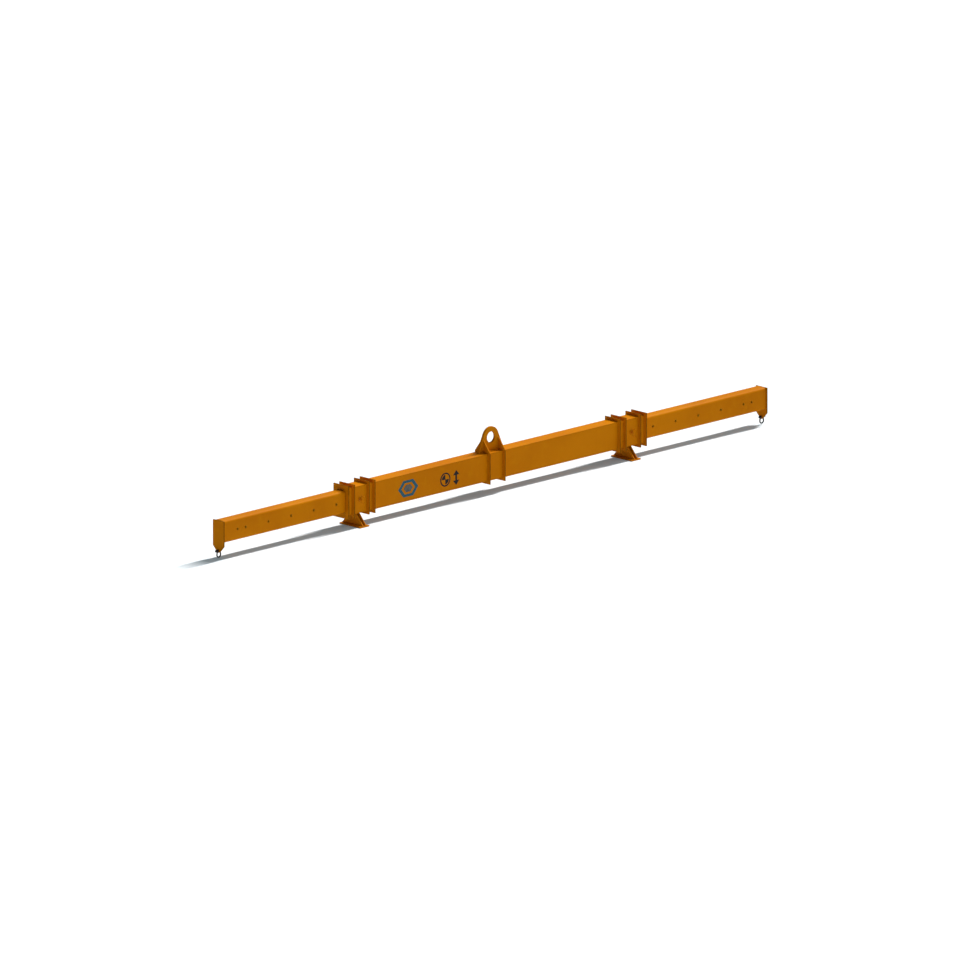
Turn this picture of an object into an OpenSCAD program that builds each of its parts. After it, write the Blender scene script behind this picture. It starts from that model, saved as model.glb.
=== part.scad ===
// Telescopic lifting spreader beam: a fabricated box beam with one lifting lug,
// two sliding arms locked by plunger pins, and a bow shackle under each arm end.
// X runs along the beam, Y from front to back, Z up. The origin is on the floor
// under the middle of the beam. Millimetres.

/* [Main beam] */
// Height of the box section
box_h = 220; // [200:10:260]
// Width of the box section
box_w = 120; // [110:5:160]
// Thickness of the box plates
box_t = 8; // [6:1:10]
// Length of the box section
box_l = 3280; // [3280:20:3400]

/* [Arms] */
// Distance between the end plates with both arms out
span = 6000; // [5900:20:6080]
// Height of the arm section
arm_h = 180; // [160:5:184]
// Width of the arm section
arm_w = 100; // [90:2:102]
// Wall thickness of the arm section
arm_t = 8; // [6:1:10]
// Outer corner radius of the arm section
arm_r = 20; // [16:1:24]
// Distance from the middle of the beam to each arm's tail with the arms out
tail_x = 1350; // [1345:5:1360]
// Distance between two locking holes
hole_pitch = 250; // [200:10:260]
// Diameter of the locking holes in the arms
arm_hole_d = 20; // [19.5:0.5:26]
// Gap left at the mouth plate and at the diaphragm when an arm is fully in
stop_gap = 4; // [2:1:8]

/* [Collars and frames] */
// Thickness of the collar and frame plates
plate_t = 10; // [8:1:12]
// How far the collars stand proud of the box
collar_proud = 24; // [15:1:30]
// Distance from a lock pin to the middle of each nearer collar
collar_near = 81; // [75:1:90]
// Distance from a lock pin to the middle of each farther collar
collar_far = 145; // [140:1:150]
// Distance from the middle of the beam to each centre frame
frame_x = 83; // [75:1:87]

/* [Lifting lug] */
// Thickness of the lug plate
lug_t = 20; // [20:1:40]
// Diameter of the lifting hole
lug_hole_d = 88; // [80:1:110]
// Outer radius of the round top
lug_r = 84; // [80:1:100]
// Height of the hole above the centre line of the beam
lug_hole_z = 223; // [215:1:240]
// Angle of the lug's flanks from the vertical
lug_flank = 24; // [16:1:28]
// Height of the gussets on the box
gusset_h = 104; // [90:1:130]

/* [Feet] */
// Height of the box above the floor
foot_h = 108; // [104:1:140]
// Length of the foot plate across the beam
foot_w = 232; // [232:2:300]
// Width of the foot plate along the beam
foot_l = 100; // [90:2:110]
// Distance between the two webs of a foot
foot_web_pitch = 32; // [30:2:80]

/* [Shackles] */
// Thickness of the end plates that carry the shackles
end_t = 12; // [10:1:14]
// Depth of the shackle pin below the centre line of the beam
shackle_z = 155; // [150:1:156]
// Diameter of the shackle pin
shackle_pin_d = 11; // [10:0.5:12]
// Diameter of the bow's bar
bow_d = 11; // [9:0.5:11]
// Clear width between the two eyes
jaw = 18.5; // [18:0.5:20]
// Clear width of the round part of the bow
bow_inside = 29; // [27:1:31]
// Length of the bow from the pin's axis to its outer end
bow_reach = 57; // [54:1:60]

/* [Lock pins] */
// Distance from the middle of the beam to each lock pin
pin_x = 1500; // [1498:1:1502]
// Bore of the lock pin's boss
boss_bore = 19; // [18:0.5:19]
// Outer diameter of the boss
boss_d = 34; // [30:1:60]
// How far the boss stands proud of the box
boss_l = 4; // [3:1:6]
// Radial clearance of the lock pin in its boss
pin_clear = 0.1; // [0.05:0.01:0.1]
// Gap between the drawn-back pin and the arm
nose_gap = 1; // [0.5:0.5:1.5]
// Travel of the lock pin from drawn back to locked
pin_travel = 11; // [9.5:0.5:11]
// Outer width of the pull ring, which is a long link
ring_d = 36; // [34:1:38]
// Length of the pull ring's straight sides
ring_side = 30; // [10:1:40]
// Wire diameter of the pull ring
ring_wire = 4; // [3:0.5:4]

/* [Hidden] */
$fn = 64;
SIDES = ["left", "right"];
SIDE_PARTS = [
    "centre_frame", "tail_collar", "inner_collar", "outer_collar", "mouth_plate", "mouth_pads",
    "pin_boss", "foot_webs", "foot_rib", "foot_base",
    "arm_tube", "end_plate", "tail_shoes",
    "shackle_bow", "shackle_pin", "shackle_nut", "shackle_cotter",
    "lock_pin", "pull_ring",
];
MAIN_PARTS = [
    "main_top_plate", "main_bottom_plate", "main_front_web", "main_back_web",
    "centre_diaphragm", "lifting_lug", "lug_gussets",
];

paint = [0.85, 0.52, 0.09];
paint_shade = [0.68, 0.40, 0.05];
dark_steel = [0.18, 0.17, 0.17];
zinc = [0.62, 0.62, 0.60];
nylon = [0.90, 0.88, 0.80];

eps = 1;                                  // how far a cutter runs past a face
beam_z = foot_h + box_h / 2;              // centre line of the beam above the floor
inner_h = box_h - 2 * box_t;
inner_w = box_w - 2 * box_t;
box_end = box_l / 2;

// Arms. The stroke ends with each end plate just short of its mouth plate.
arm_end = span / 2 - end_t / 2;
mouth_face = box_end + plate_t;
stroke = arm_end - mouth_face - stop_gap;
n_pitch = floor((stroke - arm_hole_d) / hole_pitch);
hole_x = concat([for (i = [0 : n_pitch]) pin_x + i * hole_pitch], [pin_x + stroke]);
bush_t = 5;
mouth_clear = 2;
pad_slack = 0.5;
pad_t = (inner_h - arm_h) / 2 - pad_slack;
pad_w = arm_w - 2 * arm_r;
shoe_l = 70;
pad_x0 = tail_x + shoe_l + stop_gap;
diaphragm_t = 2 * (tail_x - stroke - stop_gap);

// Collars
collar_w = box_w + 2 * collar_proud;
collar_h = box_h + 2 * collar_proud;

// Lug: the flanks are tangent to the round top.
lug_side_x = lug_r * cos(lug_flank);
lug_side_z = lug_hole_z + lug_r * sin(lug_flank);
lug_base_x = lug_side_x + (lug_side_z - box_h / 2) * tan(lug_flank);
gusset_lip = 6;

// Feet
foot_plate_t = 10;
foot_web_t = 8;
foot_web_top = 64;
foot_web_bottom = foot_w - 2;

// End plates: the taper is tangent to a round tip around the shackle pin.
end_top = 88;
end_shoulder = 117;
tip_r = 17;
tip_hole_d = shackle_pin_d + 1;
shoulder_reach = norm([box_w / 2, shackle_z - end_shoulder]);
tip_angle = atan2(shackle_z - end_shoulder, box_w / 2) - acos(tip_r / shoulder_reach);

// Shackle: a round bow whose straight legs run tangent from the eyes.
eye_t = bow_d + 2.6;                       // wide enough for the head and nut to clear the legs
eye_r = 11;
leg_x = (jaw + bow_d) / 2;
bow_r = (bow_inside + bow_d) / 2;
bow_drop = bow_reach - bow_d / 2 - bow_r;
leg_angle = atan2(bow_drop, leg_x) - acos(bow_r / norm([leg_x, bow_drop]));
leg_len = sqrt(pow(norm([leg_x, bow_drop]), 2) - bow_r * bow_r);
leg_d = bow_d + 0.6;                      // a little thicker, so that the bow ends inside it
bow_overlap = 3;                          // degrees of the bow inside each leg
eye_face = jaw / 2 + eye_t;
head_r = 8.5;
head_t = 6;
washer_gap = 0.3;
nut_af = 17;
nut_t = 8;
nut_slack = 0.1;
cotter_d = 2.5;
cotter_x = eye_face + nut_t + 4;
cotter_leg = 9;
cotter_eye_r = 4;
cotter_eye_z = shackle_pin_d / 2 + cotter_eye_r + cotter_d / 2 + 0.6;
pin_tip_x = cotter_x + 4;

// Lock pin: drawn back here, with its nose just clear of the arm.
pin_d = boss_bore - 2 * pin_clear;
boss_face = box_w / 2 + boss_l;
nose_y = arm_w / 2 + nose_gap;
nose_chamfer = 2;
pin_end = boss_face + pin_travel + 0.5;
tab_t = 5;
tab_r = 6.5;
ring_r = (ring_d - ring_wire) / 2;
ring_hole_d = ring_wire + 1;
ring_y = pin_end + ring_wire;

// ---------------------------------------------------------------- helpers

// A box centred on X and Y, from z = 0 upwards.
module slab(size) {
    translate([-size.x / 2, -size.y / 2, 0]) cube(size);
}

// A square with four exact round corners.
module round_square(w, h, r) {
    square([w - 2 * r, h], center = true);
    square([w, h - 2 * r], center = true);
    for (x = [-1, 1], y = [-1, 1]) translate([x * (w / 2 - r), y * (h / 2 - r)]) circle(r);
}

// Lifts parts that are drawn around the beam's centre line.
module on_beam() {
    translate([0, 0, beam_z]) children();
}

// Places a part that is drawn for the right-hand half on the left or the right.
module on_side(side) {
    mirror([side == "left" ? 1 : 0, 0, 0]) children();
}

// Stands a Y-Z outline up as a plate of thickness t, centred on x.
module cross_plate(x, t) {
    translate([x - t / 2, 0, 0]) rotate([90, 0, 90]) linear_extrude(t) children();
}

// A round bar along X from x0 to x1.
module bar_x(r, x0, x1) {
    translate([x0, 0, 0]) rotate([0, 90, 0]) cylinder(r = r, h = x1 - x0);
}

// A round bar along Y, from y0 to y1 in front of the centre line.
module bar_front(r, y0, y1) {
    translate([0, -y0, 0]) rotate([90, 0, 0]) cylinder(r = r, h = y1 - y0);
}

// ---------------------------------------------------------------- main beam

module flange_plate(z) {
    translate([0, 0, z]) slab([box_l, box_w, box_t]);
}

module main_top_plate() {
    color(paint) on_beam() flange_plate(box_h / 2 - box_t);
}

module main_bottom_plate() {
    color(paint_shade) on_beam() flange_plate(-box_h / 2);
}

module web_plate(y) {
    translate([0, y, -inner_h / 2]) slab([box_l, box_t, inner_h]);
}

module main_front_web() {
    color(paint_shade) on_beam() difference() {
        web_plate(-(box_w - box_t) / 2);
        for (x = [-pin_x, pin_x]) translate([x, 0, 0]) bar_front(boss_bore / 2, 0, box_w);
    }
}

module main_back_web() {
    color(paint_shade) on_beam() web_plate((box_w - box_t) / 2);
}

// The plate in the middle of the box carries the lug's load and stops the arms.
module centre_diaphragm() {
    color(paint_shade) on_beam() translate([0, 0, -inner_h / 2])
        slab([diaphragm_t, inner_w, inner_h]);
}

// ---------------------------------------------------------------- lifting lug

module lug_outline() {
    translate([0, lug_hole_z]) circle(lug_r, $fn = 96);
    polygon([
        [-lug_base_x, box_h / 2], [lug_base_x, box_h / 2],
        [lug_side_x, lug_side_z], [-lug_side_x, lug_side_z],
    ]);
}

module lifting_lug() {
    color(paint) on_beam() difference() {
        translate([0, lug_t / 2, 0]) rotate([90, 0, 0]) linear_extrude(lug_t) lug_outline();
        translate([0, 0, lug_hole_z]) bar_front(lug_hole_d / 2, -lug_t, lug_t);
    }
}

module gusset_outline() {
    polygon([
        [lug_t / 2, box_h / 2], [collar_w / 2, box_h / 2],
        [collar_w / 2, box_h / 2 + gusset_lip], [lug_t / 2, box_h / 2 + gusset_h],
    ]);
}

module lug_gussets() {
    color(paint) on_beam() for (x = [-frame_x, frame_x]) cross_plate(x, plate_t) {
        gusset_outline();
        mirror([1, 0]) gusset_outline();
    }
}

module centre_frame(side) {
    color(paint_shade) on_side(side) on_beam() cross_plate(frame_x, plate_t) difference() {
        translate([-collar_w / 2, -collar_h / 2]) square([collar_w, collar_h - collar_proud]);
        translate([-box_w / 2, -box_h / 2]) square([box_w, box_h + eps]);
    }
}

// ---------------------------------------------------------------- collars

module collar(side, x) {
    color(paint_shade) on_side(side) on_beam() cross_plate(x, plate_t) difference() {
        square([collar_w, collar_h], center = true);
        square([box_w, box_h], center = true);
    }
}

// The mouth plate closes the box down to the arm.
module mouth_plate(side) {
    color(paint_shade) on_side(side) on_beam() cross_plate(box_end + plate_t / 2, plate_t)
        difference() {
            square([collar_w, collar_h], center = true);
            round_square(arm_w + 2 * mouth_clear, arm_h + 2 * mouth_clear, arm_r + mouth_clear);
        }
}

// Wear pads over and under the arm, fixed inside the mouth of the box.
module mouth_pads(side) {
    color(nylon) on_side(side) on_beam() for (z = [-inner_h / 2, inner_h / 2 - pad_t])
        translate([pad_x0, -pad_w / 2, z]) cube([box_end - pad_x0, pad_w, pad_t]);
}

module pin_boss(side) {
    color(paint) on_side(side) on_beam() translate([pin_x, 0, 0]) difference() {
        bar_front(boss_d / 2, box_w / 2, boss_face);
        bar_front(boss_bore / 2, 0, boss_face + eps);
    }
}

// ---------------------------------------------------------------- feet

module foot_webs(side) {
    color(paint_shade) on_side(side) for (x = [-0.5, 0.5])
        cross_plate(pin_x + x * foot_web_pitch, foot_web_t) polygon([
            [-foot_web_bottom / 2, foot_plate_t], [foot_web_bottom / 2, foot_plate_t],
            [foot_web_top / 2, foot_h], [-foot_web_top / 2, foot_h],
        ]);
}

// One rib along the beam ties the two webs of a foot together.
module foot_rib(side) {
    color(paint_shade) on_side(side) translate([pin_x, 0, foot_plate_t])
        slab([foot_web_pitch - foot_web_t, foot_web_t, foot_h - foot_plate_t]);
}

module foot_base(side) {
    color(paint) on_side(side) translate([pin_x, 0, 0]) slab([foot_l, foot_w, foot_plate_t]);
}

// ---------------------------------------------------------------- arms

// A rolled tube with a bush welded through it at each locking hole.
module arm_tube(side) {
    bush_end = (arm_w - arm_t) / 2;
    color(paint) on_side(side) on_beam() difference() {
        union() {
            cross_plate((tail_x + arm_end) / 2, arm_end - tail_x) difference() {
                round_square(arm_w, arm_h, arm_r);
                round_square(arm_w - 2 * arm_t, arm_h - 2 * arm_t, arm_r - arm_t);
            }
            for (x = hole_x) translate([x, 0, 0])
                bar_front(arm_hole_d / 2 + bush_t, -bush_end, bush_end);
        }
        for (x = hole_x) translate([x, 0, 0]) bar_front(arm_hole_d / 2, -arm_w, arm_w);
    }
}

module end_outline() {
    tip_x = tip_r * cos(tip_angle);
    tip_z = tip_r * sin(tip_angle) - shackle_z;
    polygon([
        [-box_w / 2, end_top], [-box_w / 2, -end_shoulder], [-tip_x, tip_z],
        [tip_x, tip_z], [box_w / 2, -end_shoulder], [box_w / 2, end_top],
    ]);
    translate([0, -shackle_z]) circle(tip_r);
}

module end_plate(side) {
    color(paint_shade) on_side(side) on_beam() difference() {
        cross_plate(span / 2, end_t) end_outline();
        translate([0, 0, -shackle_z]) bar_x(tip_hole_d / 2, arm_end - eps, arm_end + end_t + eps);
    }
}

// Shoes on the tail of the arm. They run under the box plates and meet the mouth pads
// when the arm is pulled right out.
module tail_shoes(side) {
    color(paint_shade) on_side(side) on_beam() for (z = [-arm_h / 2 - pad_t, arm_h / 2])
        translate([tail_x, -pad_w / 2, z]) cube([shoe_l, pad_w, pad_t]);
}

// ---------------------------------------------------------------- shackles

// Draws a shackle part around its pin's axis and hangs it under the end plate.
module on_shackle(side) {
    on_side(side) on_beam() translate([span / 2, 0, -shackle_z]) children();
}

module shackle_bow(side) {
    color(dark_steel) on_shackle(side) difference() {
        union() {
            bow_angle = leg_angle + bow_overlap;
            translate([0, 0, -bow_drop]) rotate([90, 0, 0]) rotate([0, 0, 180 - bow_angle])
                rotate_extrude(angle = 180 + 2 * bow_angle) translate([bow_r, 0]) circle(bow_d / 2);
            for (s = [0, 1]) mirror([s, 0, 0]) {
                translate([leg_x, 0, 0]) rotate([0, 180 - leg_angle, 0])
                    cylinder(d = leg_d, h = leg_len);
                bar_x(eye_r, jaw / 2, eye_face);
            }
        }
        bar_x(tip_hole_d / 2, -eye_face - eps, eye_face + eps);
    }
}

module shackle_pin(side) {
    color(dark_steel) on_shackle(side) difference() {
        union() {
            bar_x(shackle_pin_d / 2, -eye_face - head_t, pin_tip_x);
            bar_x(head_r, -eye_face - washer_gap - head_t, -eye_face - washer_gap);
        }
        translate([cotter_x, 0, -head_r]) cylinder(d = cotter_d + 0.4, h = 2 * head_r);
    }
}

module shackle_nut(side) {
    color(dark_steel) on_shackle(side) translate([eye_face + washer_gap, 0, 0])
        rotate([0, 90, 0]) difference() {
            cylinder(d = nut_af / cos(30), h = nut_t, $fn = 6);
            translate([0, 0, -eps]) cylinder(d = shackle_pin_d + 2 * nut_slack, h = nut_t + 2 * eps);
        }
}

// A split pin: a ring eye above the shackle pin and one straight leg through it.
module shackle_cotter(side) {
    color(zinc) on_shackle(side) translate([cotter_x, 0, 0]) {
        translate([0, 0, -cotter_leg])
            cylinder(d = cotter_d, h = cotter_leg + cotter_eye_z - cotter_eye_r);
        translate([0, 0, cotter_eye_z]) rotate([0, 90, 0])
            rotate_extrude() translate([cotter_eye_r, 0]) circle(d = cotter_d);
    }
}

// ---------------------------------------------------------------- lock pins

module on_lock_pin(side) {
    on_side(side) on_beam() translate([pin_x, 0, 0]) children();
}

module lock_pin(side) {
    color(paint_shade) on_lock_pin(side) difference() {
        union() {
            translate([0, -nose_y, 0]) rotate([90, 0, 0])
                cylinder(r1 = pin_d / 2 - nose_chamfer, r2 = pin_d / 2, h = nose_chamfer);
            bar_front(pin_d / 2, nose_y + nose_chamfer, pin_end);
            translate([-tab_r, -ring_y, -tab_t / 2]) cube([2 * tab_r, ring_y - pin_end + eps, tab_t]);
            translate([0, -ring_y, -tab_t / 2]) cylinder(r = tab_r, h = tab_t);
        }
        translate([0, -ring_y, -tab_t]) cylinder(d = ring_hole_d, h = 2 * tab_t);
    }
}

module pull_ring(side) {
    color(paint_shade) on_lock_pin(side) translate([0, -ring_y - ring_r, 0]) {
        for (y = [-ring_r, ring_r]) translate([0, y, -ring_side / 2])
            cylinder(d = ring_wire, h = ring_side);
        for (s = [0, 1]) mirror([0, 0, s]) translate([0, 0, ring_side / 2])
            rotate([90, 0, 90]) rotate_extrude(angle = 180)
                translate([ring_r, 0]) circle(d = ring_wire);
    }
}

// ---------------------------------------------------------------- assembly

main_top_plate();
main_bottom_plate();
main_front_web();
main_back_web();
centre_diaphragm();
lifting_lug();
lug_gussets();
for (s = SIDES) {
    centre_frame(s);
    collar(s, pin_x - collar_far);
    collar(s, pin_x - collar_near);
    collar(s, pin_x + collar_near);
    mouth_plate(s);
    mouth_pads(s);
    pin_boss(s);
    foot_webs(s);
    foot_rib(s);
    foot_base(s);
    arm_tube(s);
    end_plate(s);
    tail_shoes(s);
    shackle_bow(s);
    shackle_pin(s);
    shackle_nut(s);
    shackle_cotter(s);
    lock_pin(s);
    pull_ring(s);
}
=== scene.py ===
"""Looks of the telescopic spreader beam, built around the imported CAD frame. Metres."""
import bmesh
import bpy
import math
from mathutils import Matrix, Vector


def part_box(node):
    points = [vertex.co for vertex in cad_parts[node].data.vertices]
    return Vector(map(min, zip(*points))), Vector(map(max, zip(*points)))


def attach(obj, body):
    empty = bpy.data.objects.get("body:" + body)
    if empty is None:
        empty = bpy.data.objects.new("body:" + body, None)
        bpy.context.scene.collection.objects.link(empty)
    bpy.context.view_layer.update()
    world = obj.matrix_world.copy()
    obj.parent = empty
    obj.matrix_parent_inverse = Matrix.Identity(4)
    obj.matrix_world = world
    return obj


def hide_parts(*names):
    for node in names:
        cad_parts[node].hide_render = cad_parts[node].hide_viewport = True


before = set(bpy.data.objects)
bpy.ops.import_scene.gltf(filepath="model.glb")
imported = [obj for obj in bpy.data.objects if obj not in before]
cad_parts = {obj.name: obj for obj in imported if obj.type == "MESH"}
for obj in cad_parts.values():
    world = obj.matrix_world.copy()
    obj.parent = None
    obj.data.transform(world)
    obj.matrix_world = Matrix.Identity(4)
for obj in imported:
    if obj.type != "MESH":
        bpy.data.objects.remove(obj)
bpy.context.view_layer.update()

MM = 0.001
SIDES = {"left": -1, "right": 1}
X, Y, Z = Vector((1, 0, 0)), Vector((0, 1, 0)), Vector((0, 0, 1))

# Places that several pieces share, all read from the frame.
WEB_LOW, WEB_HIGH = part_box("main_front_web")
TOP_LOW, TOP_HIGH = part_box("main_top_plate")
BEAM_Z = (WEB_LOW.z + WEB_HIGH.z) / 2
BOX_HALF_W = -TOP_LOW.y
BOX_HALF_H = TOP_HIGH.z - BEAM_Z

# Sizes that the boxes of the CAD parts don't give.
ARM_CORNER = 20 * MM
HOLE_PITCH, LAST_HOLE = 0.25, 2.84
FOOT_TOP_HALF = 32 * MM


def show(name, data):
    """Puts a new object into the scene."""
    thing = bpy.data.objects.new(name, data)
    bpy.context.scene.collection.objects.link(thing)
    return thing


# ------------------------------------------------------------------ camera, floor, light

VIEW_AZIMUTH, VIEW_ELEVATION = -45.0, 14.28
VIEW_WIDTH = 7.502
AIM_LEFT, AIM_DOWN = 0.0797, 0.1219
CAMERA_DISTANCE = 40


def add_camera():
    """An orthographic camera, aimed a little left of and below the middle of the beam."""
    a, e = math.radians(VIEW_AZIMUTH), math.radians(VIEW_ELEVATION)
    back = Vector((math.sin(a) * math.cos(e), -math.cos(a) * math.cos(e), math.sin(e)))
    right = Vector((math.cos(a), math.sin(a), 0))
    up = back.cross(right)
    target = Vector((0, 0, BEAM_Z)) - right * AIM_LEFT - up * AIM_DOWN
    data = bpy.data.cameras.new("camera")
    data.type = "ORTHO"
    data.ortho_scale = VIEW_WIDTH
    data.clip_end = 200
    camera = show("camera", data)
    camera.location = target + back * CAMERA_DISTANCE
    camera.rotation_euler = (-back).to_track_quat("-Z", "Y").to_euler()
    bpy.context.scene.camera = camera


def add_sun(name, towards, strength, softness):
    """A sun seen in the direction towards, so many degrees wide."""
    data = bpy.data.lights.new(name, "SUN")
    data.energy = strength
    data.angle = math.radians(softness)
    show(name, data).rotation_euler = towards.to_track_quat("Z", "Y").to_euler()


def add_lights():
    """A row of overhead suns, as one strip light that runs along the beam to its right."""
    suns, first, last = 9, 0.45, 1.55
    floor_light, softness = 3.6, 3
    for i in range(suns):
        lean = first + (last - first) * i / (suns - 1)
        towards = Vector((lean, 0.02, 1))
        # Each gives the floor the same light, whatever its slope.
        add_sun(f"strip_{i}", towards, floor_light / suns * towards.length, softness)


def add_world():
    """A soft sky, slightly blue: bright at the right front and dark at the left back."""
    bright_side, brightest = (0.80, -0.60, 0), 0.53
    world = bpy.data.worlds.new("studio")
    bpy.context.scene.world = world
    world.use_nodes = True
    tree = world.node_tree
    background = tree.nodes["Background"]
    direction = tree.nodes.new("ShaderNodeTexCoord").outputs["Generated"]
    dot = tree.nodes.new("ShaderNodeVectorMath")
    dot.operation = "DOT_PRODUCT"
    tree.links.new(direction, dot.inputs[0])
    dot.inputs[1].default_value = bright_side
    side = tree.nodes.new("ShaderNodeMapRange")
    side.inputs["From Min"].default_value = -1
    side.inputs["To Min"].default_value = 0.0
    side.inputs["To Max"].default_value = brightest
    tree.links.new(dot.outputs["Value"], side.inputs["Value"])
    tree.links.new(side.outputs["Result"], background.inputs["Strength"])
    background.inputs["Color"].default_value = (0.93, 0.97, 1.0, 1)


# ------------------------------------------------------------------ materials

class Shader:
    """A material under construction: nodes are added by short calls and linked as they come."""

    def __init__(self, name):
        self.material = bpy.data.materials.new(name)
        self.material.use_nodes = True
        self.tree = self.material.node_tree
        self.surface = self.tree.nodes["Principled BSDF"]
        coordinates = self.tree.nodes.new("ShaderNodeTexCoord")
        self.place = coordinates.outputs["Object"]
        self.normal = coordinates.outputs["Normal"]

    def put(self, socket, value):
        """Links value if it is an output, and sets it if it is a constant."""
        if isinstance(value, bpy.types.NodeSocket):
            self.tree.links.new(value, socket)
        else:
            socket.default_value = value

    def math(self, operation, a, b=0.0, clamp=False):
        node = self.tree.nodes.new("ShaderNodeMath")
        node.operation = operation
        node.use_clamp = clamp
        self.put(node.inputs[0], a)
        self.put(node.inputs[1], b)
        return node.outputs[0]

    def split(self, vector):
        node = self.tree.nodes.new("ShaderNodeSeparateXYZ")
        self.put(node.inputs[0], vector)
        return node.outputs

    def stretch(self, scale):
        """The object's own coordinates, scaled along each axis."""
        node = self.tree.nodes.new("ShaderNodeMapping")
        self.put(node.inputs["Vector"], self.place)
        node.inputs["Scale"].default_value = scale
        return node.outputs[0]

    def noise(self, scale, detail=2.0, rough=0.5, place=None):
        node = self.tree.nodes.new("ShaderNodeTexNoise")
        self.put(node.inputs["Vector"], place or self.place)
        node.inputs["Scale"].default_value = scale
        node.inputs["Detail"].default_value = detail
        node.inputs["Roughness"].default_value = rough
        return node.outputs["Fac"]

    def span(self, value, low, high, to_low=0.0, to_high=1.0):
        """value's stretch from low to high, smoothly mapped to the new range."""
        node = self.tree.nodes.new("ShaderNodeMapRange")
        node.interpolation_type = "SMOOTHSTEP"
        for socket, number in zip(node.inputs[:5], (value, low, high, to_low, to_high)):
            self.put(socket, number)
        return node.outputs[0]

    def mix(self, share, a, b):
        """Colour a where share is 0, and colour b where it is 1."""
        node = self.tree.nodes.new("ShaderNodeMix")
        node.data_type = "RGBA"
        self.put(node.inputs[0], share)
        self.put(node.inputs[6], a)
        self.put(node.inputs[7], b)
        return node.outputs[2]

    def edges(self, radius):
        """1 along sharp edges and 0 on open faces."""
        bevel = self.tree.nodes.new("ShaderNodeBevel")
        bevel.samples = 4
        bevel.inputs["Radius"].default_value = radius
        true_normal = self.tree.nodes.new("ShaderNodeNewGeometry").outputs["Normal"]
        dot = self.tree.nodes.new("ShaderNodeVectorMath")
        dot.operation = "DOT_PRODUCT"
        self.put(dot.inputs[0], bevel.outputs[0])
        self.put(dot.inputs[1], true_normal)
        return self.span(dot.outputs["Value"], 0.998, 0.90)

    def bump(self, height, strength, distance, under=None):
        node = self.tree.nodes.new("ShaderNodeBump")
        node.inputs["Strength"].default_value = strength
        node.inputs["Distance"].default_value = distance
        self.put(node.inputs["Height"], height)
        if under:
            self.put(node.inputs["Normal"], under)
        return node.outputs[0]

    def finish(self, **sockets):
        for name, value in sockets.items():
            self.put(self.surface.inputs[name.replace("_", " ")], value)
        return self.material


ORANGE = (0.562, 0.180, 0.0012, 1)
ORANGE_DEEP = (0.509, 0.154, 0.0010, 1)
ORANGE_PALE = (0.595, 0.216, 0.002, 1)
CUT_EDGE = (0.118, 0.052, 0.002, 1)
PRIMER = (0.100, 0.048, 0.010, 1)
DUST = (0.46, 0.27, 0.03, 1)
UNDERSIDE_DARK = (0.060, 0.032, 0.012, 1)
BORE_PAINTED_LIGHT = (0.62, 0.32, 0.02, 1)
RUBBED = (0.34, 0.200, 0.035, 1)
BARE_STEEL = (0.20, 0.19, 0.17, 1)


def paint(name, extra=None):
    """Satin enamel with orange peel, uneven colour, dust on top, darker on faces that look down, and
    chipped edges.
    extra(shader, colour, rough) may add marks, and returns the new colour and roughness."""
    s = Shader(name)
    broad = s.noise(1.7, 2.0)
    blotch = s.noise(16.0, 4.0, 0.6)
    grain = s.noise(140.0, 3.0, 0.6)
    colour = s.mix(s.span(broad, 0.35, 0.65), ORANGE_DEEP, ORANGE)
    colour = s.mix(s.span(blotch, 0.50, 0.75, 0.0, 0.35), colour, ORANGE_PALE)
    facing = s.split(s.normal)["Z"]
    dusty = s.math("MULTIPLY", s.span(facing, 0.5, 1.0), s.span(blotch, 0.40, 0.70, 0.0, 0.04))
    colour = s.mix(dusty, colour, DUST)
    # Faces that look down are darkened, more in some patches than in others.
    under = s.math("MULTIPLY", s.span(facing, -0.3, -1.0), s.span(blotch, 0.35, 0.65, 0.15, 0.5))
    colour = s.mix(under, colour, UNDERSIDE_DARK)
    rough = s.span(blotch, 0.30, 0.70, 0.36, 0.50)
    if extra:
        colour, rough = extra(s, colour, rough)
    edge = s.edges(2.5 * MM)
    chips = s.math("MULTIPLY", edge, s.span(s.noise(85.0, 5.0, 0.65), 0.52, 0.60))
    colour = s.mix(s.math("MULTIPLY", edge, 0.30), colour, CUT_EDGE)
    colour = s.mix(chips, colour, PRIMER)
    rough = s.math("ADD", rough, s.math("MULTIPLY", chips, 0.25))
    wavy = s.bump(broad, 0.12, 4 * MM)
    peel = s.bump(s.noise(420.0, 1.0), 0.10, 0.35 * MM, wavy)
    chipped = s.bump(s.math("SUBTRACT", grain, chips), 0.08, 0.5 * MM, peel)
    return s.finish(Base_Color=colour, Roughness=rough, Normal=chipped, Specular_IOR_Level=0.02,
                    Specular_Tint=(1.0, 0.55, 0.12, 1))


def cut_edges(s, colour, rough):
    """Marks for paint(): the flame-cut edges of an upright plate, thinly painted and dark."""
    facing = s.math("ABSOLUTE", s.split(s.normal)["X"])
    rim = s.span(facing, 0.75, 0.50)
    share = s.math("MULTIPLY", rim, s.span(s.noise(24.0, 3.0), 0.3, 0.7, 0.62, 0.92))
    return s.mix(share, colour, CUT_EDGE), s.math("ADD", rough, s.math("MULTIPLY", rim, 0.15))


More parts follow.
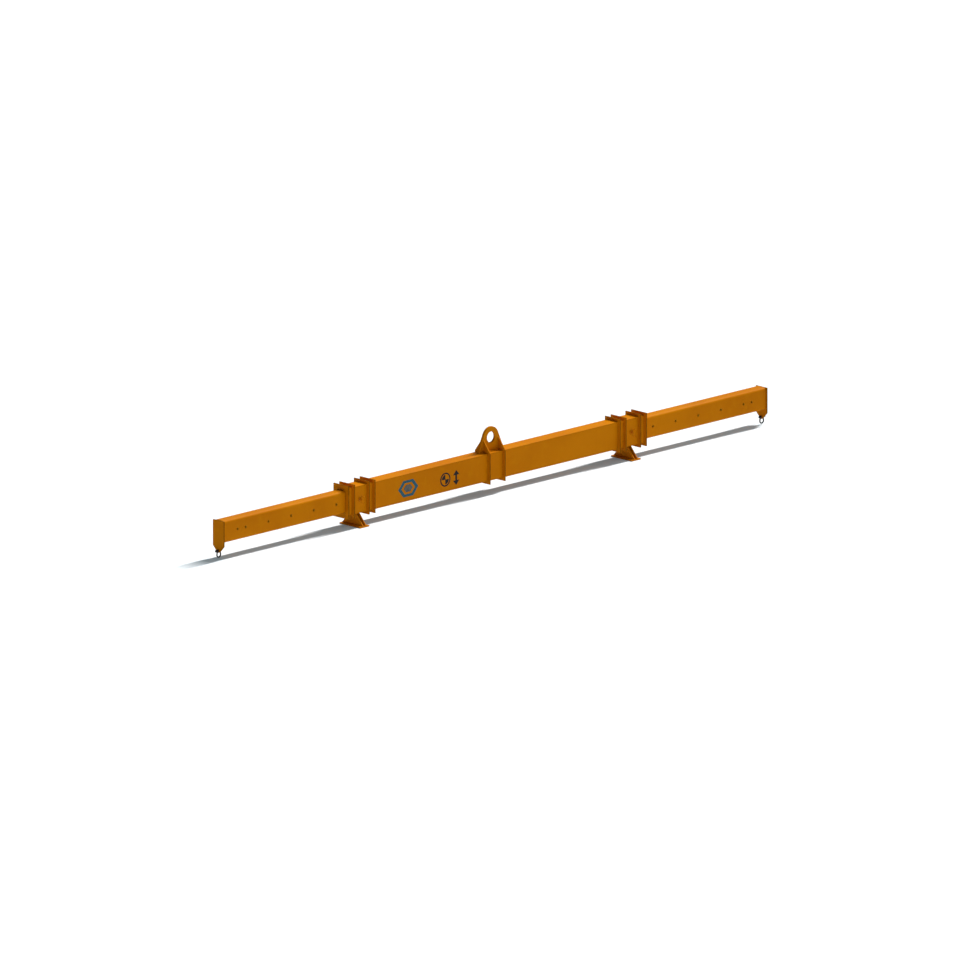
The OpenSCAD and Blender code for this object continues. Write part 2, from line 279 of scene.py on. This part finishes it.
def arm_marks(s, colour, rough):
    """Marks for paint(): rubbed tracks of the wear pads, scuffs round the locking holes, and painted
    light in the bores of their bushes: a paler orange on the hole walls, which lie in shade."""
    place = s.split(s.place)
    normal = s.split(s.normal)
    facing = s.math("ABSOLUTE", normal["Z"])
    track = s.span(s.math("ABSOLUTE", place["Y"]), 33 * MM, 26 * MM)
    track = s.math("MULTIPLY", track, s.span(facing, 0.8, 0.95))
    streaks = s.noise(1.0, 4.0, 0.7, s.stretch((1.2, 260.0, 260.0)))
    rubbed = s.math("MULTIPLY", track, s.span(streaks, 0.48, 0.70, 0.0, 0.55))
    colour = s.mix(rubbed, colour, RUBBED)
    rough = s.math("SUBTRACT", rough, s.math("MULTIPLY", rubbed, 0.14))
    low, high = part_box("right_lock_pin")
    hole = (high.x - low.x) / 2 + 0.6 * MM
    outward = s.math("ABSOLUTE", place["X"])
    along = s.math("SUBTRACT", outward, (low.x + high.x) / 2)
    to_last = s.math("ABSOLUTE", s.math("SUBTRACT", outward, LAST_HOLE))
    wrapped = s.math("MINIMUM", s.math("PINGPONG", along, HOLE_PITCH / 2), to_last)
    height = s.math("SUBTRACT", place["Z"], BEAM_Z)
    squares = [s.math("MULTIPLY", part, part) for part in (wrapped, height)]
    distance = s.math("SQRT", s.math("ADD", *squares))
    outside = s.span(s.math("ABSOLUTE", normal["Y"]), 0.8, 0.95)
    ring = s.math("MULTIPLY", s.span(distance, hole + 4.5 * MM, hole), outside)
    scuffed = s.math("MULTIPLY", ring, s.span(s.noise(130.0, 4.0, 0.6), 0.42, 0.58, 0.0, 0.4))
    # The hole walls are painted a paler orange, as painted light where the bores lie in shade.
    bore = s.math("MULTIPLY", s.span(distance, hole + 0.6 * MM, hole + 0.2 * MM),
                  s.math("SUBTRACT", 1.0, outside))
    return s.mix(bore, s.mix(scuffed, colour, PRIMER), BORE_PAINTED_LIGHT), rough


def pin_marks(s, colour, rough):
    """Marks for paint(): the lock pin is bare greased steel inside its boss."""
    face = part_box("left_pin_boss")[0].y
    bare = s.span(s.split(s.place)["Y"], face - 0.5 * MM, face)
    smoother = s.math("SUBTRACT", rough, s.math("MULTIPLY", bare, 0.1))
    return s.mix(bare, colour, BARE_STEEL), smoother


def forged():
    """Dark oiled forging skin: scale pits, brown tints and rubbed high spots."""
    s = Shader("forged_steel")
    scale = s.noise(260.0, 5.0, 0.65)
    tint = s.noise(45.0, 3.0)
    colour = s.mix(s.span(tint, 0.35, 0.65), (0.010, 0.008, 0.008, 1), (0.022, 0.016, 0.014, 1))
    rubbed = s.math("MULTIPLY", s.edges(1.6 * MM), s.span(scale, 0.35, 0.65, 0.1, 0.5))
    colour = s.mix(rubbed, colour, (0.10, 0.09, 0.08, 1))
    rough = s.span(scale, 0.3, 0.7, 0.38, 0.62)
    return s.finish(Base_Color=colour, Roughness=rough, Metallic=0.1,
                    Specular_IOR_Level=0.12, Normal=s.bump(scale, 0.30, 0.35 * MM))


def zinc():
    """Dull zinc plate with fine spangle and a cloudy tone."""
    s = Shader("zinc_plate")
    spangle = s.noise(700.0, 2.0)
    cloud = s.noise(90.0, 3.0)
    colour = s.mix(s.span(cloud, 0.35, 0.65), (0.30, 0.295, 0.28, 1), (0.46, 0.455, 0.44, 1))
    rough = s.span(spangle, 0.3, 0.7, 0.30, 0.46)
    return s.finish(Base_Color=colour, Roughness=rough, Metallic=0.85,
                    Normal=s.bump(spangle, 0.12, 0.1 * MM))


def nylon():
    """Machined nylon wear pad with saw lines and a film of grease."""
    s = Shader("nylon")
    lines = s.noise(1.0, 3.0, 0.6, s.stretch((30.0, 900.0, 900.0)))
    colour = s.mix(s.span(lines, 0.4, 0.6), (0.60, 0.57, 0.47, 1), (0.72, 0.70, 0.60, 1))
    return s.finish(Base_Color=colour, Roughness=s.span(lines, 0.3, 0.7, 0.35, 0.55),
                    Normal=s.bump(lines, 0.15, 0.2 * MM), Subsurface_Weight=0.1)


def vinyl(name, colour, worn):
    """A weathered vinyl mark: faded patches and fine scuffs."""
    s = Shader(name)
    fade = s.noise(60.0, 4.0, 0.6)
    scuffs = s.noise(1.0, 4.0, 0.7, s.stretch((30.0, 30.0, 240.0)))
    shade = s.mix(s.span(fade, 0.40, 0.70, 0.0, 0.6), colour, worn)
    shade = s.mix(s.span(scuffs, 0.62, 0.72, 0.0, 0.5), shade, worn)
    return s.finish(Base_Color=shade, Roughness=s.span(fade, 0.3, 0.7, 0.30, 0.45),
                    Specular_IOR_Level=0.1, Normal=s.bump(fade, 0.05, 0.2 * MM))


def floor_material():
    """Pale studio paper. Its faint cool glow keeps the shadows a neutral grey beside the orange."""
    s = Shader("studio_floor")
    cloud = s.noise(0.8, 2.0)
    colour = s.mix(s.span(cloud, 0.3, 0.7), (0.78, 0.80, 0.81, 1), (0.795, 0.815, 0.825, 1))
    return s.finish(Base_Color=colour, Roughness=0.9, Specular_IOR_Level=0.0,
                    Emission_Color=(0.24, 0.65, 0.82, 1), Emission_Strength=0.09)


def under_floor_material():
    """White paper that lights nothing else."""
    s = Shader("under_floor")
    material = s.finish(Base_Color=(0, 0, 0, 1), Specular_IOR_Level=0.0,
                        Emission_Color=(1, 1, 1, 1), Emission_Strength=1.0)
    material.cycles.emission_sampling = "NONE"
    return material


# ------------------------------------------------------------------ mesh helpers

def add_piece(name, verts, faces, material, body, crease=None):
    """A closed smooth-shaded mesh that rides on body. crease is the angle of its sharp edges."""
    mesh = bpy.data.meshes.new(name)
    mesh.from_pydata([tuple(v) for v in verts], [], faces)
    shell = bmesh.new()
    shell.from_mesh(mesh)
    bmesh.ops.recalc_face_normals(shell, faces=shell.faces)
    shell.to_mesh(mesh)
    shell.free()
    mesh.polygons.foreach_set("use_smooth", [True] * len(mesh.polygons))
    if crease:
        mesh.set_sharp_from_angle(angle=math.radians(crease))
    mesh.materials.append(material)
    piece = show(name, mesh)
    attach(piece, body)
    return piece


class Solid:
    """Vertices and faces collected from several closed tubes, for one piece."""

    def __init__(self):
        self.verts, self.faces = [], []

    def rings(self, rings, loop=False):
        """Skins a list of rings of points. Open ends get a flat cap."""
        base, sides, count = len(self.verts), len(rings[0]), len(rings)
        self.verts += [p for ring in rings for p in ring]
        for i in range(count if loop else count - 1):
            a, b = base + i * sides, base + (i + 1) % count * sides
            for j in range(sides):
                k = (j + 1) % sides
                self.faces.append((a + j, a + k, b + k, b + j))
        if not loop:
            self.faces.append(tuple(range(base, base + sides)))
            self.faces.append(tuple(range(base + (count - 1) * sides, base + count * sides)))

    def piece(self, name, material, body, slot, crease=None):
        return add_piece(name, self.verts, self.faces, material, body, crease)


def wire(solid, path, radius, sides=10, loop=False):
    """Sweeps a round wire along path, with its frames carried along so that it doesn't twist."""
    rings, side, count = [], None, len(path)
    for i, p in enumerate(path):
        before = path[i - 1] if i or loop else p
        after = path[(i + 1) % count] if i + 1 < count or loop else p
        ahead = (after - before).normalized()
        if side is None:
            side = ahead.orthogonal().normalized()
        side = (side - ahead * side.dot(ahead)).normalized()
        other = ahead.cross(side)
        turns = [math.tau * j / sides for j in range(sides)]
        rings.append([p + (side * math.cos(t) + other * math.sin(t)) * radius for t in turns])
    solid.rings(rings, loop)


# ------------------------------------------------------------------ weld beads

BEAD_STEP = 3 * MM
RIPPLE = 9 * MM
LUG_LEG, PLATE_LEG, SMALL_LEG = 7 * MM, 5 * MM, 3 * MM


def run(points, normals, along, closed=False):
    """Stations (point, side, side) along a line where two plates meet. Each stretch has its own
    outward normal, which turns smoothly at the corners; along is the other plate's direction."""
    stations, count = [], len(normals)
    for i, normal in enumerate(normals):
        start, end = points[i], points[(i + 1) % len(points)]
        steps = max(2, round((end - start).length / BEAD_STEP))
        stations += [(start.lerp(end, k / steps), along, normal) for k in range(steps + 1)]
        if closed or i + 1 < count:
            following = normals[(i + 1) % count]
            for k in (1, 2, 3):
                stations.append((end, along, normal.slerp(following, k / 4)))
    return stations


def bead(solid, stations, leg, closed=False):
    """A rippled fillet weld. Its size wavers a little, and it tapers at open ends."""
    rings, length, last = [], 0.0, stations[0][0]
    for i, (p, a, b) in enumerate(stations):
        length += (p - last).length
        last = p
        ripple = 0.06 * math.cos(math.tau * length / RIPPLE)
        waver = 0.05 * math.sin(length * 61) + 0.04 * math.sin(length * 23 + 1)
        size = leg * (1 + ripple + waver)
        if not closed:
            size *= min(1, 0.55 + 0.15 * min(i, len(stations) - 1 - i))
        ring = [p - (a + b) * 0.06 * leg]
        for t in (0, 0.25, 0.5, 0.75, 1):
            swell = 0.16 * size * math.sin(math.pi * t)
            ring.append(p + a * (size * (1 - t) + swell) + b * (size * t + swell))
        rings.append(ring)
    solid.rings(rings, closed)


def box_loop(x, half_y, half_z, centre_z):
    """Corners and outward normals of a rectangle round the beam at x."""
    corners = [Vector((x, y * half_y, centre_z + z * half_z))
               for y, z in ((-1, -1), (-1, 1), (1, 1), (1, -1))]
    return corners, [-Y, Z, Y, -Z]


def weld_collars(side, material):
    """Both faces of each collar round the box; the mouth plate only on its inboard face."""
    solid, sign = Solid(), SIDES[side]
    for part in ("tail_collar", "inner_collar", "outer_collar", "mouth_plate"):
        low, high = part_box(f"{side}_{part}")
        faces = [(low.x, -X), (high.x, X)]
        if part == "mouth_plate":
            faces = [f for f in faces if f[1].x * sign < 0]
        for x, away in faces:
            corners, normals = box_loop(x, BOX_HALF_W, BOX_HALF_H, BEAM_Z)
            bead(solid, run(corners, normals, away, True), PLATE_LEG, True)
    return solid.piece(f"{side}_collar_welds", material, "main", "orange_paint")


def weld_centre(material):
    """The lug, its four gussets and the two U-shaped frames."""
    solid = Solid()
    low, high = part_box("lifting_lug")
    deck = TOP_HIGH.z
    for y, away in ((low.y, -Y), (high.y, Y)):
        foot = [Vector((low.x, y, deck)), Vector((high.x, y, deck))]
        bead(solid, run(foot, [Z], away), LUG_LEG)
    for x, away in ((low.x, -X), (high.x, X)):
        foot = [Vector((x, low.y, deck)), Vector((x, high.y, deck))]
        bead(solid, run(foot, [Z], away), LUG_LEG)
    _, gusset_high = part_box("lug_gussets")
    for side in SIDES:
        frame_low, frame_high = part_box(f"{side}_centre_frame")
        for x, away in ((frame_low.x, -X), (frame_high.x, X)):
            for sign in (-1, 1):
                root = Vector((x, sign * high.y, deck))
                edge = Vector((x, sign * BOX_HALF_W, deck))
                tip = Vector((x, sign * high.y, gusset_high.z - 3 * MM))
                bead(solid, run([root, edge], [Z], away), PLATE_LEG)
                bead(solid, run([root, tip], [Y * sign], away), PLATE_LEG)
            corners, _ = box_loop(x, BOX_HALF_W, BOX_HALF_H, BEAM_Z)
            around = corners[2:] + corners[:2]
            bead(solid, run(around, [Y, -Z, -Y], away), PLATE_LEG)
    return solid.piece("centre_welds", material, "main", "orange_paint")


def weld_foot(side, material):
    """The webs of a foot, to the box above and to the foot plate below."""
    solid = Solid()
    _, plate_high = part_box(f"{side}_foot_base")
    rib_low, rib_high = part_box(f"{side}_foot_rib")
    web_low, web_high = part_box(f"{side}_foot_webs")
    thickness = rib_low.x - web_low.x
    for x, away in ((web_low.x, -X), (rib_low.x, X), (rib_high.x, -X), (web_high.x, X)):
        for z, half, normal in ((plate_high.z, web_high.y, Z), (web_high.z, FOOT_TOP_HALF, -Z)):
            ends = [Vector((x, -half, z)), Vector((x, half, z))]
            bead(solid, run(ends, [normal], away), min(PLATE_LEG, thickness))
    return solid.piece(f"{side}_foot_welds", material, "main", "orange_paint")


def weld_boss(side, material):
    """The ring round the lock pin's boss."""
    low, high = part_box(f"{side}_pin_boss")
    centre, radius = (low + high) / 2, (high.x - low.x) / 2
    solid, stations = Solid(), []
    for i in range(64):
        turn = math.tau * i / 64
        out = X * math.cos(turn) + Z * math.sin(turn)
        stations.append((Vector((centre.x, high.y, centre.z)) + out * radius, out, -Y))
    bead(solid, stations, SMALL_LEG, True)
    return solid.piece(f"{side}_boss_weld", material, "main", "orange_paint")


def weld_arm_end(side, material):
    """Down one side of the arm, under it and up the other side, on the end plate."""
    arm_low, arm_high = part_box(f"{side}_arm_tube")
    plate_low, plate_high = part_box(f"{side}_end_plate")
    sign, corner = SIDES[side], ARM_CORNER
    face = plate_low.x if sign > 0 else plate_high.x
    half_w, bottom, top = arm_high.y, arm_low.z + corner, arm_high.z - corner
    stations, turns = [], 12
    down = round((top - bottom) / BEAD_STEP)
    for i in range(down + 1):
        stations.append((Vector((face, -half_w, top + (bottom - top) * i / down)), -Y))
    for i in range(1, turns):
        turn = math.pi / 2 * i / turns
        out = -Y * math.cos(turn) - Z * math.sin(turn)
        stations.append((Vector((face, corner - half_w, bottom)) + out * corner, out))
    across = round(2 * (half_w - corner) / BEAD_STEP)
    for i in range(across + 1):
        y = (half_w - corner) * (2 * i / across - 1)
        stations.append((Vector((face, y, bottom - corner)), -Z))
    stations += [(Vector((p.x, -p.y, p.z)), Vector((0, -n.y, n.z)))
                 for p, n in reversed(stations[: down + turns])]
    solid = Solid()
    bead(solid, [(p, -X * sign, n) for p, n in stations], SMALL_LEG)
    return solid.piece(f"{side}_end_weld", material, f"{side}_arm", "orange_paint")


# ------------------------------------------------------------------ shackles

# Radii and distances from the middle of the bow. The flats are half the width of a hexagon.
BAR_R, PIN_R, DRILL_R = 5.5 * MM, 5.5 * MM, 6.0 * MM
LEG_X, EYE_INSIDE, EYE_OUTSIDE = 14.75 * MM, 9.25 * MM, 22.85 * MM
HEAD_FLAT, HEAD_T = 7.3 * MM, 6 * MM
NUT_FLAT, NUT_BORE = 8.5 * MM, 5.6 * MM
THREAD_START, THREAD_PITCH, THREAD_DEPTH = 23 * MM, 1.75 * MM, 0.7 * MM
SPLIT_R, SPLIT_EYE_R = 0.75 * MM, 3.2 * MM


def shackle_facts(side):
    """The pin's axis point and the CAD parts' boxes for one shackle."""
    pin_low, pin_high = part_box(f"{side}_shackle_pin")
    bow_low, bow_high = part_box(f"{side}_shackle_bow")
    axis_z = (pin_low.z + pin_high.z) / 2
    return Vector(((bow_low.x + bow_high.x) / 2, 0, axis_z)), bow_low, bow_high


def lathe(solid, origin, profile, sides=40, radius_at=None):
    """Turns a profile of (x, radius) about the X axis through origin. radius_at(x, radius, turn)
    may change the radius with the angle, as on a thread or a hexagon."""
    rings = []
    for x, radius in profile:
        ring = []
        for j in range(sides):
            turn = math.tau * j / sides
            r = radius_at(x, radius, turn) if radius_at else radius
            ring.append(origin + X * x + (Y * math.cos(turn) + Z * math.sin(turn)) * r)
        rings.append(ring)
    solid.rings(rings)


def hexagon(flat, turn):
    """The distance from the middle of a hexagon to its side, in the direction turn."""
    step = math.pi / 3
    return flat / math.cos((turn + step / 2) % step - step / 2)


def shackle_bow(side, material):
    """The forged bow: bar, eyes and their bosses melted into one skin."""
    axis, low, high = shackle_facts(side)
    half_out = (high.x - low.x) / 2
    bow_r = half_out - BAR_R
    drop = axis.z - low.z - half_out
    eye_r = high.z - axis.z
    solid = Solid()
    path = []
    start = Vector((LEG_X, 0, 0))
    tangent = math.atan2(drop, LEG_X) - math.acos(bow_r / math.hypot(LEG_X, drop))
    joint = Vector((bow_r * math.cos(tangent), 0, bow_r * math.sin(tangent) - drop))
    for i in range(8):
        path.append(start.lerp(joint, i / 8))
    for i in range(41):
        turn = tangent - (math.pi + 2 * tangent) * i / 40
        path.append(Vector((bow_r * math.cos(turn), 0, bow_r * math.sin(turn) - drop)))
    path += [Vector((-p.x, 0, p.z)) for p in reversed(path[:8])]
    wire(solid, [axis + p for p in path], BAR_R, 24)
    for sign in (-1, 1):
        inside, outside = EYE_INSIDE * sign, EYE_OUTSIDE * sign
        lathe(solid, axis, [(inside, eye_r - 0.8 * MM), (inside + 0.8 * MM * sign, eye_r),
                            (outside - 1.8 * MM * sign, eye_r), (outside, eye_r - 1.8 * MM)], 48)
    bow = solid.piece(f"{side}_bow", material, f"{side}_shackle", "dark_forged_steel")
    melt = bow.modifiers.new("melt", "REMESH")
    melt.mode = "VOXEL"
    melt.voxel_size = 0.9 * MM
    soften = bow.modifiers.new("soften", "SMOOTH")
    soften.factor = 0.5
    soften.iterations = 6
    thin = bow.modifiers.new("thin", "DECIMATE")
    thin.ratio = 0.35
    apply_modifiers(bow)
    drill(bow, axis, DRILL_R)
    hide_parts(f"{side}_shackle_bow")
    return bow


def apply_modifiers(piece):
    """Bakes the modifiers into the mesh, and keeps its smooth shading."""
    graph = bpy.context.evaluated_depsgraph_get()
    mesh = bpy.data.meshes.new_from_object(piece.evaluated_get(graph))
    piece.modifiers.clear()
    piece.data = mesh
    mesh.polygons.foreach_set("use_smooth", [True] * len(mesh.polygons))


def drill(piece, axis, radius):
    """A through hole along X."""
    cutter = Solid()
    lathe(cutter, axis, [(-30 * MM, radius), (30 * MM, radius)])
    mesh = bpy.data.meshes.new("cutter")
    mesh.from_pydata([tuple(v) for v in cutter.verts], [], cutter.faces)
    tool = show("cutter", mesh)
    cut = piece.modifiers.new("cut", "BOOLEAN")
    cut.operation = "DIFFERENCE"
    cut.solver = "EXACT"
    cut.object = tool
    apply_modifiers(piece)
    piece.data.set_sharp_from_angle(angle=math.radians(40))
    bpy.data.objects.remove(tool)


def thread_radius(x, radius, turn):
    """A thread, as the radius at x and turn of a bar that it is cut into."""
    phase = (x / THREAD_PITCH - turn / math.tau) % 1
    return radius - THREAD_DEPTH * abs(2 * phase - 1)


def shackle_pin(side, material):
    """A bolt with a chamfered hexagon head, a plain shank and a threaded end."""
    axis, _, _ = shackle_facts(side)
    low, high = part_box(f"{side}_shackle_pin")
    sign = SIDES[side]
    inner_end = abs((low.x if sign > 0 else high.x) - axis.x)
    outer_end = abs((high.x if sign > 0 else low.x) - axis.x)
    flank, rim = 0.97 * HEAD_FLAT, 0.98 * HEAD_FLAT
    hexagonal = 2  # stands for the radius where the head has its full hexagon
    solid = Solid()
    head = [(0, 0.82 * HEAD_FLAT), (0.1 * MM, rim), (1.3 * MM, hexagonal),
            (HEAD_T - 0.6 * MM, hexagonal), (HEAD_T - 0.5 * MM, flank), (HEAD_T, flank)]
    lathe(solid, axis, [((x - inner_end) * sign, r) for x, r in head], 48,
          lambda x, r, turn: hexagon(HEAD_FLAT, turn) if r == hexagonal else r)
    start, end = THREAD_START, outer_end - 1 * MM
    lathe(solid, axis, [((HEAD_T - inner_end) * sign, PIN_R), (start * sign, PIN_R)])
    steps = 46
    threads = [(sign * (start + (end - start) * i / steps), PIN_R) for i in range(steps + 1)]
    threads.append((sign * outer_end, PIN_R - 1.6 * MM))
    lathe(solid, axis, threads, radius_at=thread_radius)
    pin = solid.piece(f"{side}_bolt", material, f"{side}_shackle", "dark_forged_steel", 32)
    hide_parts(f"{side}_shackle_pin")
    return pin


def shackle_nut(side, material):
    """A hexagon nut with both faces chamfered."""
    axis, _, _ = shackle_facts(side)
    low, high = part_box(f"{side}_shackle_nut")
    slope, land = math.tan(math.radians(30)), 0.95 * NUT_FLAT
    centre = Vector(((low.x + high.x) / 2, 0, axis.z))
    half = (high.x - low.x) / 2
    sides, rings = 48, []
    for kind in ("bore_low", "land_low", "side_low", "side_high", "land_high", "bore_high"):
        ring = []
        for j in range(sides):
            turn = math.tau * j / sides
            out = hexagon(NUT_FLAT, turn)
            radius = {"bore": NUT_BORE, "land": land, "side": out}[kind[:4]]
            x = half - (out - land) * slope if kind[:4] == "side" else half
            x = -x if kind.endswith("low") else x
            ring.append(centre + X * x + (Y * math.cos(turn) + Z * math.sin(turn)) * radius)
        rings.append(ring)
    solid = Solid()
    solid.rings(rings, True)
    nut = solid.piece(f"{side}_nut", material, f"{side}_shackle", "dark_forged_steel", 25)
    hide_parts(f"{side}_shackle_nut")
    return nut


def split_pin(side, material):
    """A split pin: an eye on top and two legs bent apart below the bolt."""
    low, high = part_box(f"{side}_shackle_cotter")
    axis, _, _ = shackle_facts(side)
    neck, eye_z = 5.9 * MM, 10.1 * MM
    spread, leg_z, dip = 9 * MM, -7 * MM, 1.8 * MM
    points = []
    for i in range(9):
        bend = math.pi / 2 * i / 8
        out = spread * (1 - math.sin(bend)) + SPLIT_R
        points.append(Vector((-out, 0, leg_z - dip * math.cos(bend))))
    points.append(Vector((-SPLIT_R, 0, neck)))
    for i in range(21):
        turn = math.radians(250 - 16 * i)
        y, z = SPLIT_EYE_R * math.cos(turn), SPLIT_EYE_R * math.sin(turn)
        points.append(Vector((y, 0, eye_z + z)))
    points += [Vector((-p.x, 0, p.z)) for p in reversed(points[:10])]
    middle, quarter_turn = (low.x + high.x) / 2, Matrix.Rotation(math.radians(90), 3, "Z")
    path = [Vector((middle, 0, axis.z)) + quarter_turn @ p for p in points]
    solid = Solid()
    wire(solid, path, SPLIT_R, 8)
    cotter = solid.piece(f"{side}_split_pin", material, f"{side}_shackle", "zinc_steel")
    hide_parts(f"{side}_shackle_cotter")
    return cotter


# ------------------------------------------------------------------ lock pins

def pull_ring(side, material):
    """A long link of round bar, with a small bulge where its ends were welded together."""
    low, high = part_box(f"{side}_pull_ring")
    centre, half = (low + high) / 2, (high - low) / 2
    bar = half.x
    bend, straight = half.y - bar, half.z - half.y
    path = []
    for end in (1, -1):
        for i in range(25):
            turn = math.pi * i / 24
            y, z = bend * math.cos(turn), straight + bend * math.sin(turn)
            path.append(centre + Vector((0, y, z)) * end)
    solid, sides = Solid(), 16
    wire(solid, path, bar, sides, True)
    bulge = [(-3, 0.90), (-2, 1.06), (-0.7, 1.16), (0.7, 1.16), (2, 1.06), (3, 0.90)]
    rings, turns = [], [math.tau * j / sides for j in range(sides)]
    for z, swell in bulge:
        middle = centre + Vector((0, -bend, z * MM))
        rings.append([middle + (X * math.cos(t) + Y * math.sin(t)) * bar * swell for t in turns])
    solid.rings(rings)
    link = solid.piece(f"{side}_pull_link", material, f"{side}_ring", "orange_paint")
    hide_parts(f"{side}_pull_ring")
    return link


# ------------------------------------------------------------------ plain marks

MARK_T = 0.5 * MM


def mark(name, centre, loops, material):
    """A thin mark on the front web. Each loop pair is an outer and an inner outline with the same
    number of points (x, z); an inner outline of None fills the shape."""
    verts, faces = [], []
    back, front = WEB_LOW.y - 0.02 * MM, WEB_LOW.y - MARK_T
    for outer, inner in loops:
        base, n = len(verts), len(outer)
        outlines = [outer] if inner is None else [outer, inner]
        for y in (back, front):
            for outline in outlines:
                verts += [Vector((centre.x + x, y, centre.z + z)) for x, z in outline]
        layer = n * len(outlines)
        for j in range(n):
            k = (j + 1) % n
            faces.append((base + j, base + k, base + layer + k, base + layer + j))
            if inner is not None:
                faces.append((base + n + j, base + n + k, base + layer + n + k, base + layer + n + j))
                for level in (0, layer):
                    faces.append((base + level + j, base + level + k,
                                  base + level + n + k, base + level + n + j))
        if inner is None:
            faces.append(tuple(range(base, base + n)))
            faces.append(tuple(range(base + layer, base + layer + n)))
    return add_piece(name, verts, faces, material, "main", 30)


def polygon(radius, sides, stretch=1.0):
    steps = [math.tau * i / sides for i in range(sides)]
    return [(radius * stretch * math.cos(t), radius * math.sin(t)) for t in steps]


def sector(radius, start, end, points=14):
    steps = [start + (end - start) * i / points for i in range(points + 1)]
    return [(0.0, 0.0)] + [(radius * math.cos(t), radius * math.sin(t)) for t in steps]


def add_marks():
    """A plain two-tone badge, and two plain signs: a centre-of-gravity disc and a span arrow."""
    teal = vinyl("teal_vinyl", (0.012, 0.085, 0.13, 1), (0.05, 0.13, 0.15, 1))
    grey = vinyl("grey_vinyl", (0.075, 0.080, 0.080, 1), (0.16, 0.15, 0.13, 1))
    black = vinyl("black_vinyl", (0.008, 0.006, 0.006, 1), (0.03, 0.022, 0.018, 1))
    badge = Vector((-0.966, 0, BEAM_Z - 7 * MM))
    outer, inner, core = (polygon(r * MM, 6, stretch=1.45) for r in (76, 52, 34))
    mark("badge_ring", badge, [(outer, inner)], teal)
    mark("badge_core", badge, [(core, None)], grey)
    disc = Vector((-0.556, 0, BEAM_Z - 12 * MM))
    circle = (polygon(56 * MM, 48), polygon(45 * MM, 48))
    quarter = math.pi / 2
    wedges = [(sector(38 * MM, quarter * i, quarter * (i + 1)), None) for i in (1, 3)]
    mark("centre_sign", disc, [circle] + wedges, black)
    arrow = Vector((-0.436, 0, BEAM_Z - 16 * MM))
    tip, barb, neck = (0, 60 * MM), (34 * MM, 22 * MM), (9 * MM, 22 * MM)
    right = [tip, barb, neck] + [(x, -z) for x, z in (neck, barb, tip)]
    left = [(-x, z) for x, z in reversed(right[1:-1])]
    mark("span_sign", arrow, [(right + left, None)], black)


# ------------------------------------------------------------------ assembly

def dress(nodes, material, bevel=0.0):
    """Gives CAD nodes their material, and rounds their sharp edges a little."""
    for name in nodes:
        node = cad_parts[name]
        node.data.materials.clear()
        node.data.materials.append(material)
        node.data.polygons.foreach_set("use_smooth", [True] * len(node.data.polygons))
        stored = node.data.attributes.get("custom_normal")
        if stored:
            node.data.attributes.remove(stored)
        join = node.modifiers.new("join", "WELD")
        join.merge_threshold = 0.01 * MM
        flatten = node.modifiers.new("flatten", "DECIMATE")
        flatten.decimate_type = "DISSOLVE"
        flatten.angle_limit = math.radians(1)
        if bevel:
            round_off = node.modifiers.new("round_off", "BEVEL")
            round_off.width = bevel
            round_off.segments = 2
            round_off.limit_method = "ANGLE"
            round_off.angle_limit = math.radians(35)
            round_off.harden_normals = True


def add_sheet(name, height, material):
    """A large level sheet of the studio, 120 m wide."""
    half = 60.0
    mesh = bpy.data.meshes.new(name)
    corners = [(-half, -half), (half, -half), (half, half), (-half, half)]
    mesh.from_pydata([(x, y, height) for x, y in corners], [], [(0, 1, 2, 3)])
    mesh.materials.append(material)
    show(name, mesh)


def add_floor():
    """The floor, and a white sheet far below it. The lowest rays of a low parallel view start
    under the floor, so they would meet the sky without the sheet."""
    add_sheet("floor", 0.0, floor_material())
    add_sheet("under_floor", -6.0, under_floor_material())


def both(*parts):
    return [f"{side}_{part}" for side in SIDES for part in parts]


def build():
    enamel = paint("enamel")
    plate = paint("enamel_plate", cut_edges)
    arm = paint("enamel_arm", arm_marks)
    steel, plated, pad = forged(), zinc(), nylon()

    box_plates = [f"main_{part}" for part in ("top_plate", "bottom_plate", "front_web", "back_web")]
    dress(box_plates, enamel, 0.8 * MM)
    dress(["centre_diaphragm"], enamel, 0.5 * MM)
    dress(["lifting_lug", "lug_gussets"], enamel, 1.5 * MM)
    dress(both("centre_frame", "tail_collar", "inner_collar", "outer_collar", "mouth_plate",
               "end_plate"), plate, 1.0 * MM)
    dress(both("pin_boss"), enamel, 1.2 * MM)
    dress(both("foot_webs", "foot_rib", "foot_base"), enamel, 1.0 * MM)
    dress(both("arm_tube"), arm, 0.6 * MM)
    dress(both("lock_pin"), paint("enamel_pin", pin_marks), 0.6 * MM)
    dress(both("mouth_pads", "tail_shoes"), pad, 0.8 * MM)

    weld_centre(enamel)
    for side in SIDES:
        weld_collars(side, enamel)
        weld_foot(side, enamel)
        weld_boss(side, enamel)
        weld_arm_end(side, enamel)
        shackle_bow(side, steel)
        shackle_pin(side, steel)
        shackle_nut(side, steel)
        split_pin(side, plated)
        pull_ring(side, enamel)
    add_marks()


bpy.context.scene.view_settings.view_transform = "Standard"
add_camera()
add_floor()
add_lights()
add_world()
build()
